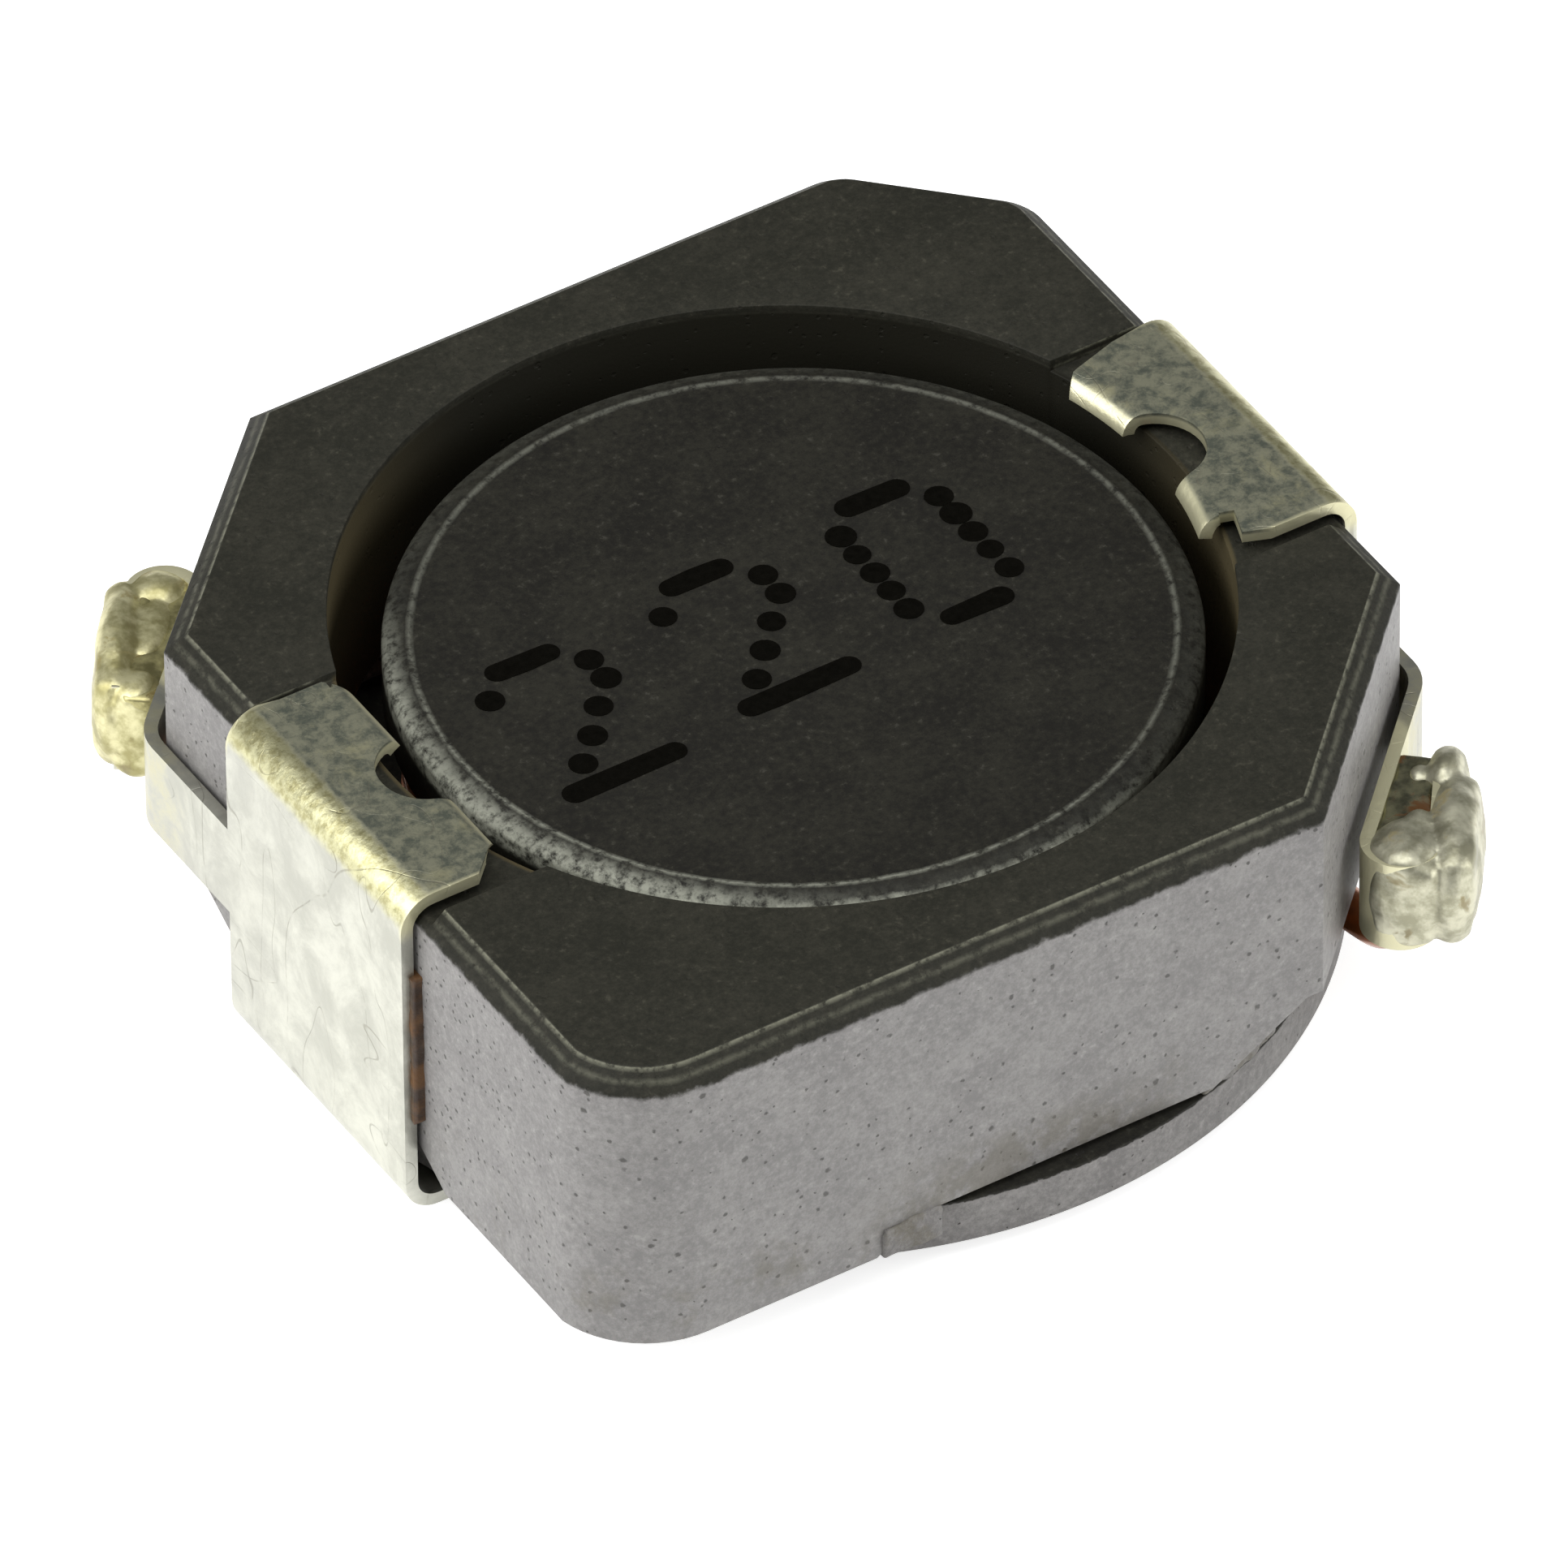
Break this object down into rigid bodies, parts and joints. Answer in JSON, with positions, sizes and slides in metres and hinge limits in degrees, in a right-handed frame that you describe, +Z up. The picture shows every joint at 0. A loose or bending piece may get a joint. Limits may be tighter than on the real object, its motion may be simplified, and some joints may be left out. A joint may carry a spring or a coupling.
{
  "type": "shielded surface-mount power inductor",
  "caption": "Square shielded power inductor: a ferrite drum with a copper winding inside a ferrite ring, held by folded solder clips whose hooks grip the wire ends",
  "frame": {"origin": "middle of the part on the board plane, under the solder pads", "axes": "+Z up off the board, +X from the left clip to the right clip, -Y towards the front long side"},
  "size_m": [0.0104, 0.0103, 0.0038],
  "materials": {
    "ring_ferrite": "sintered ferrite ceramic, dark grey, matt, finely pitted",
    "drum_ferrite": "sintered ferrite ceramic, dark grey, matt, worn pale at the rim",
    "copper_wire": "enamelled copper wire",
    "tinned_sheet": "tin-plated copper sheet, satin, faintly scratched and tarnished",
    "solder": "solder, satin, with brown flux",
    "clip_glue": "cured brown adhesive",
    "slit_glue": "cured grey epoxy"
  },
  "bodies": {
    "root": {"shield_core": "ring_ferrite", "drum_core": "drum_ferrite", "winding": "copper_wire", "terminal_left": "tinned_sheet", "terminal_right": "tinned_sheet", "solder_left": "solder", "solder_right": "solder", "clip_glue_left": "clip_glue", "clip_glue_right": "clip_glue", "glue_front_left": "slit_glue", "glue_front_right": "slit_glue", "glue_back_left": "slit_glue", "glue_back_right": "slit_glue"}
  },
  "joints": []
}
